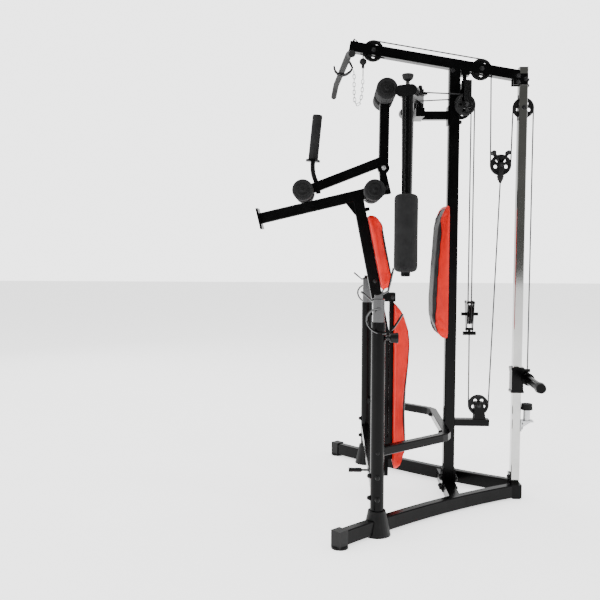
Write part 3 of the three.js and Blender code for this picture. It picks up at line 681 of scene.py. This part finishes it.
def pulley_axis(node):
    if node == "front_float_pulley":
        return Y_AXIS
    turn = {"left_swivel_pulley": SWIVEL_TURN, "right_swivel_pulley": -SWIVEL_TURN}.get(node, 0)
    return Vector((math.cos(turn), math.sin(turn), 0))


def pulleys():
    mesh = pulley_mesh()
    for node, body in PULLEYS:
        matrix = facing(middle(node), pulley_axis(node))
        obj = link(node + "_wheel", mesh.copy(), NYLON, body, matrix, 30)
        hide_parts(node)


def strap(start, end, width, thick):
    """A bevelled bar from start to end, two (y, z) places, as (mesh, matrix)."""
    a, b = Vector((0, *start)), Vector((0, *end))
    bar = bevelled_box("strap", (thick, width, (b - a).length + width * 0.6), 1.2, 2)
    along = (b - a).normalized()
    turn = Matrix((X_AXIS, along.cross(X_AXIS), along)).transposed().to_4x4()
    return bar, Matrix.Translation((a + b) / 2 * MM) @ turn


def float_block():
    """The floating pulley's block: two open cheeks with ears, and a cable socket below."""
    parts = []
    straps = [strap((0, 34), (0, -62), 22, 3.6)]
    straps += [strap((0, 10), (y, 55), 11, 3.6) for y in (-34, 34)]
    for x in (-14, 14):
        parts += [(bar, Matrix.Translation((x * MM, 0, 0)) @ matrix) for bar, matrix in straps]
    spacer = turned("spacer", [(0, -16), (7, -16), (7, 16), (0, 16)], 20, size=0.6)
    parts += [(spacer, facing(Vector((0, y, 55)) * MM, X_AXIS)) for y in (-34, 34)]
    hub = turned("hub", [(0, -19), (10, -19), (12, -16), (12, 16), (10, 19), (0, 19)], 28)
    parts.append((hub, facing(Vector(), X_AXIS)))
    socket = [(0, -82), (5, -82), (8, -74), (16, -54), (16.5, -50), (12, -48), (0, -48)]
    parts.append((turned("socket", socket, 32), Matrix()))
    place = Matrix.Translation(middle("rear_float_pulley"))
    mesh = gathered("rear_float_body", parts)
    obj = link("rear_float_body", mesh, NYLON, "rear_float", place, 30)
    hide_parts("rear_float_block")


# ---------------------------------------------------------------- fasteners
def hex_bolt():
    washer = turned("washer", [(0, 0), (10.5, 0), (10.5, 1.8), (0, 1.8)], 32, size=0.4)
    head = turned("head", [(0, 1.6), (7.8, 1.6), (7.8, 6.6), (6.6, 7.6), (0, 7.6)], 6, size=0.01)
    tip = turned("tip", [(0, 7.4), (4.4, 7.4), (4, 9), (0, 9.6)], 20, size=0.4)
    return gathered("hex_bolt", [(washer, Matrix()), (head, Matrix()), (tip, Matrix())])


def cap_bolt():
    """A bolt under a round plastic cap."""
    washer = turned("washer", [(0, 0), (11.5, 0), (11.5, 1.8), (0, 1.8)], 32, size=0.4)
    cap = turned("cap", [(0, 1.5), (9.6, 1.5), (9.2, 8), (6.4, 12), (0, 13.4)], 32, size=2.5)
    return gathered("cap_bolt", [(washer, Matrix()), (cap, Matrix())])


def cap_places():
    """Places and directions of the capped bolts that hold the frame together."""
    places = [((x, 31 * way, z), Y_AXIS * way) for x in (-20, 20) for z in (38, 84) for way in (-1, 1)]
    places += [((0, 25, z), Y_AXIS) for z in (1737, 1795)]
    for side in (-1, 1):
        for z in (242, 151):
            places.append(((side * 537.5, -392, z), -Y_AXIS))
            places.append(((side * 565.5, -364, z), X_AXIS * side))
        places.append(((side * 190, -61.3, 342), -Y_AXIS))
        places.append(((side * 555, -364, 342), X_AXIS * side))
    return [(spot(*place), way) for place, way in places]


def both_sides(x, *places):
    """A bolt on each side, x from the middle, at every (y, z) place."""
    return [(spot(side * x, y, z), X_AXIS * side) for y, z in places for side in (-1, 1)]


def through(centre, axis, half):
    """A bolt head at each end of an axle, half its length from the centre."""
    return [(centre + axis * way * half * MM, axis * way) for way in (-1, 1)]


def pulley_bolts():
    bolts = []
    for node, half in (("front_pulley", 25), ("rear_pulley", 25), ("post_pulley", 20), ("low_pulley", 16),
                       ("left_swivel_pulley", 16), ("right_swivel_pulley", 16)):
        bolts += through(middle(node), pulley_axis(node), half)
    return bolts


def place_bolts(name, mesh, places, body, material):
    parts = [(mesh, facing(place, axis)) for place, axis in places]
    link(name, gathered(name, parts), material, body, None, 30)


def fasteners():
    hexes, caps = hex_bolt(), cap_bolt()
    place_bolts("frame_cap_bolts", caps, cap_places(), "frame", PLASTIC)
    bolts = pulley_bolts() + both_sides(25, (284, 1912), (284, 1940), (318, 1926), (-12, 1965))
    bolts += both_sides(31, (-317, 250), (-339, 120))
    bolts += [(spot(0, 330, z), Y_AXIS) for z in (1926, 1900)]
    bolts += [(spot(0, 335.4, z), Y_AXIS) for z in (322, 345)]
    bolts.append((spot(0, 283.8, 92), -Y_AXIS))
    place_bolts("frame_bolts", hexes, bolts, "frame", BLACKED)
    bench = both_sides(29, (-302, 1438)) + both_sides(33, (-270, 935)) + both_sides(25, (-352, 1010))
    place_bolts("bench_bolts", hexes, bench, "bench", BLACKED)
    place_bolts("lever_pivot_bolts", hexes, both_sides(34, (-318, 1528)), "bench", ZINC)
    for name, side in SIDES:
        pivot = [(spot(side * 60, -160, 1880.2), Z_AXIS)]
        place_bolts(f"{name}_pivot_bolt", caps, pivot, "frame", PLASTIC)
    hub = middle("rear_float_pulley")
    float_bolts = through(hub, X_AXIS, 21)
    for y in (-33, 33):
        float_bolts += through(hub + Vector((0, y, 55)) * MM, X_AXIS, 16)
    place_bolts("rear_float_bolts", hexes, float_bolts, "rear_float", BLACKED)


# ---------------------------------------------------------------- knobs, plugs and grips
LOCK_GRIP = 21.3                      # from the start of the lock pin to its grip


def arm_knob(name):
    node = f"{name}_arm_knob"
    foot = middle(node)
    foot.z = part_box(node)[0][2]
    stem = [(0, 0), (6, 0), (6, 17), (12, 18), (20, 24), (22, 27)]
    head = [(25.4, 40), (25.6, 44), (21, 48), (8, 48), (6, 46.6), (0, 46.6)]
    mesh = turned("knob", stem + head, 72, 9, 0.05, 1.6)
    grip = link(node + "_grip", mesh, PLASTIC, f"{name}_knob", facing(foot, Z_AXIS))
    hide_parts(node)
    nut = ring_piece("stem", [(6.3, 3), (9.5, 3), (9.5, 15), (6.3, 15)], 6, 0.01)
    link(node + "_nut", nut, CHROME, f"{name}_knob", facing(foot, Z_AXIS))


def lock_knob(name):
    node = f"{name}_lock_knob"
    start = middle(node)
    start.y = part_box(node)[0][1]
    pin = [(0, 0), (5, 0), (5, LOCK_GRIP)]
    head = [(16, 0), (18, 4), (22, 30), (20, 34), (0, 34)]
    profile = pin + [(radius, LOCK_GRIP + height) for radius, height in head]
    grip = link(node + "_grip", turned("lock", profile, 72, 8, 0.07, 2), PLASTIC, f"{name}_lock",
                facing(start, Y_AXIS))
    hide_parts(node)
    collar = ring_piece("collar", [(5.3, 8), (11, 8), (11, 20), (5.3, 20)], 6, 0.01)
    link(f"{name}_lock_collar", collar, BLACKED, "frame", facing(start, Y_AXIS))


def knobs():
    for name, _ in SIDES:
        arm_knob(name)
        lock_knob(name)


def tube_plug(name, place, axis, size, body):
    """A moulded plug in the end of a square tube, as (width, height, thickness)."""
    link(name, bevelled_box(name, size, 1.6), PLASTIC, body, facing(place, axis))


BEAM_TILT = math.radians(10)


def plugs():
    beam_end = Vector((0, -math.cos(BEAM_TILT), math.sin(BEAM_TILT)))
    tube_plug("beam_plug", spot(0, -475.6, 2077.6), beam_end, (50, 45, 5), "frame")
    tube_plug("post_plug", spot(0, 310, 1979.2), Z_AXIS, (40, 40, 4), "frame")
    tube_plug("low_arm_plug", spot(0, 183.6, 349), Y_AXIS, (40, 32, 4), "frame")
    tube_plug("rail_plug", spot(0, -310, 94.2), -Z_AXIS, (50, 50, 4), "bench")
    tube_plug("lever_plug", spot(0, -315, 1875.2), Z_AXIS, (45, 45, 4), "lever")


def pin_grip():
    profile = [(0, 0), (9, 0), (10.6, 4), (9.6, 20), (10.8, 40), (10.4, 58), (8, 62), (0, 62)]
    tip = middle("bench_pin")
    tip.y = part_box("bench_pin")[0][1]
    mesh = turned("pin_grip", profile, 40)
    link("bench_pin_grip", mesh, PLASTIC, "pull_pin", facing(tip, Y_AXIS))


# ---------------------------------------------------------------- chain and cables
LINK_RADIUS = 5.2
LINK_STRAIGHT = 5.5
LINK_PITCH = 15.5


def chain_link():
    points = []
    for i in range(20):
        a = 2 * math.pi * i / 20
        push = LINK_STRAIGHT if math.cos(a) > 0 else -LINK_STRAIGHT
        points.append(Vector((LINK_RADIUS * math.sin(a), 0, LINK_RADIUS * math.cos(a) + push)) * MM)
    return wire_mesh("link", points, 1.7, closed=True)


def ball_stop(ball):
    """The ball at the cable's end, with its collar."""
    half = [(15.4, 7), (9, 14.4), (0, 17)]
    profile = [(radius, -height) for radius, height in half[::-1]] + [(17, 0)] + half
    sphere = turned("ball", profile, 40, size=5)
    collar = turned("collar", [(0, -30), (6.5, -30), (6.5, -12), (0, -12)], 24)
    parts = [(mesh, Matrix.Translation(ball)) for mesh in (sphere, collar)]
    stop = link("cable_stop", gathered("cable_stop", parts), PLASTIC, "lat_grip", None)
    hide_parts("cable_end")


def snap_hook(ball):
    hook = [(0, -24), (7, -30), (9.5, -44), (9, -66), (4, -76), (-4, -76), (-9, -68), (-9.5, -44), (-7, -30)]
    places = [ball + Vector((x, 0, z)) * MM for x, z in hook]
    loop = eased(places + [places[0]], 4)[:-1]
    link("snap_hook", wire_mesh("hook", loop, 2.4, closed=True), CHROME, "lat_grip", None)


def hanging_chain(ball):
    """A chain that hangs in a loop from the snap hook and comes back up beside it."""
    down = [(0, -76), (-2, -118), (-7, -160), (-17, -188)]
    back = [(-30, -190), (-38, -168), (-40, -120), (-40, -70), (-42, -40)]
    path = eased([ball + Vector((0, y, z)) * MM for y, z in down + back], 12)
    mesh = chain_link()
    parts, travelled = [], 0.0
    for a, b in zip(path, path[1:]):
        travelled += (b - a).length
        if travelled < LINK_PITCH * MM:
            continue
        travelled = 0.0
        quarter = (len(parts) + 1) % 2
        aim = facing(a, (b - a).normalized())
        parts.append((mesh, aim @ Matrix.Rotation(math.pi / 2 * quarter, 4, "Z")))
    link("lat_chain", gathered("chain", parts), ZINC, "lat_grip", None)


def add_chain():
    ball = middle("cable_end")
    ball.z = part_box("cable_end")[1][2] - 17 * MM
    ball_stop(ball)
    snap_hook(ball)
    hanging_chain(ball)


CABLE_TURN = 46
CABLE_RADIUS = 3.0


def arc(node, from_angle, to_angle, count=16, heading=0.0):
    """Cable points round a pulley: degrees up from the heading, which is +Y turned about Z."""
    centre = middle(node)
    ahead = Vector((-math.sin(heading), math.cos(heading), 0))
    points = []
    for i in range(count + 1):
        a = math.radians(from_angle + (to_angle - from_angle) * i / count)
        points.append(centre + (ahead * math.cos(a) + Z_AXIS * math.sin(a)) * CABLE_TURN * MM)
    return points


def filled(points, longest=0.03):
    """The same route with long spans divided."""
    out = [points[0]]
    for a, b in zip(points, points[1:]):
        count = max(1, math.ceil((b - a).length / longest))
        out += [a.lerp(b, i / count) for i in range(1, count + 1)]
    return out


def cable_run(name, points, moves=None):
    """moves: (moving body, where it starts to move, where it moves fully); only whether it is given is used:
    such a run is left unattached, and its body and places are not used.
    """
    mesh = wire_mesh(name, filled(points), CABLE_RADIUS)
    mesh.materials.append(CABLE)
    mesh.shade_smooth()
    obj = bpy.data.objects.new(name, mesh)
    scene.collection.objects.link(obj)
    if moves:
        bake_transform(obj)
    else:
        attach(obj, "frame")
    return obj


BEAM_SIDE = 80                        # where a cable leaves the beam's pulleys, in degrees from +Y


def foot_of(node):
    foot = middle(node)
    foot.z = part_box(node)[0][2]
    return foot


def lat_cable():
    """From the ball over the beam, round the rear floating pulley and over the post to the carriage."""
    ball_top = middle("cable_end")
    ball_top.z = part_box("cable_end")[1][2]
    over_front = arc("front_pulley", 180, BEAM_SIDE)
    drop = [ball_top, over_front[0]]
    run = cable_run("lat_cable_drop", drop, ("lat_grip", over_front[0], ball_top))
    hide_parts("lat_cable")
    beam = over_front + arc("rear_pulley", BEAM_SIDE, 0)
    cable_run("lat_cable_beam", beam)
    over_post = arc("post_pulley", 180, 0)
    sling = [beam[-1]] + arc("rear_float_pulley", 180, 360) + [over_post[0]]
    level = middle("rear_float_pulley")
    cable_run("lat_cable_sling", sling, ("rear_float", level + Z_AXIS * 0.25, level))
    eye = over_post[-1].copy()
    eye.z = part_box("carriage")[1][2] - 8 * MM
    cable_run("lat_cable_post", over_post)
    cable_run("lat_cable_lift", [over_post[-1], eye], ("weight_carriage", over_post[-1], eye))


def link_cable():
    """From the rear floating block round the low pulley to the front floating block."""
    tail = foot_of("rear_float_block")
    low = arc("low_pulley", 0, -180)
    run = cable_run("link_cable_rear", [tail, low[0]], ("rear_float", low[0], tail))
    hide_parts("link_cable")
    cable_run("link_cable_turn", low)
    block = foot_of("front_float_block")
    cable_run("link_cable_front", [low[-1], block], ("front_float", low[-1], block))


def butterfly_cable():
    """From one arm's crank round the swivel pulleys and the front floating pulley to the other's."""
    left = arc("left_swivel_pulley", 90, 0, 10, SWIVEL_TURN)
    right = arc("right_swivel_pulley", 90, 0, 10, -SWIVEL_TURN)
    sling = [left[-1]] + arc("front_float_pulley", 0, -180, 16, -math.pi / 2) + [right[-1]]
    level = middle("front_float_pulley")
    top = level.copy()
    top.z = left[-1].z
    run = cable_run("butterfly_cable_sling", sling, ("front_float", top, level))
    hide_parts("butterfly_cable")
    for (name, side), turn in zip(SIDES, (left, right)):
        crank = spot(side * 110, -148, 1852)
        cable_run(f"{name}_butterfly_cable_turn", turn)
        cable_run(f"{name}_butterfly_cable_pull", [turn[0], crank], (f"{name}_butterfly", turn[0], crank))


# ---------------------------------------------------------------- finishes of the carried-over parts
FINISHES = {
    CHROME: ("chrome_post",),
    DARK_CHROME: ("left_rack_slider", "right_rack_slider"),
    ZINC: ("stop_bracket",),
    PLASTIC: ("left_foot", "right_foot", "left_post_boot", "right_post_boot", "bench_pin"),
    RUBBER: ("stop_bumper", "lat_bar"),
}


def dress_nodes():
    for obj in nodes.values():
        for place in obj.material_slots:
            place.material = BLACK
    for material, names in FINISHES.items():
        for name in names:
            for place in nodes[name].material_slots:
                place.material = material


def add_floor():
    bpy.ops.mesh.primitive_plane_add(size=40)
    floor = bpy.context.object
    floor.name = "studio_floor"
    floor.data.materials.append(floor_material())


add_camera()
add_world()
add_floor()
add_light("key", (4.2, -3.6, 2.6), (0, 0, 1.0), (0.12, 3.6), 95)
add_light("fill", (3.6, 4.0, 2.4), (0, 0.3, 1.0), (0.12, 3.6), 60)
add_light("front edge", (0.5, -5.6, 3.0), (0, 0, 1.1), (0.4, 3.0), 80)
add_light("back edge", (0.5, 5.6, 3.0), (0, 0, 1.1), (0.4, 3.0), 65)
add_light("rear", (-4.0, -3.0, 3.0), (0, 0, 1.0), (1.5, 3.0), 60)
add_light("top", (0, 0, 5.2), (0, 0, 0), (7.0, 7.0), 300)
dress_nodes()
upholster()
rollers()
arm_pads()
lever_grip()
pulleys()
float_block()
fasteners()
knobs()
plugs()
pin_grip()
add_chain()
lat_cable()
link_cable()
butterfly_cable()
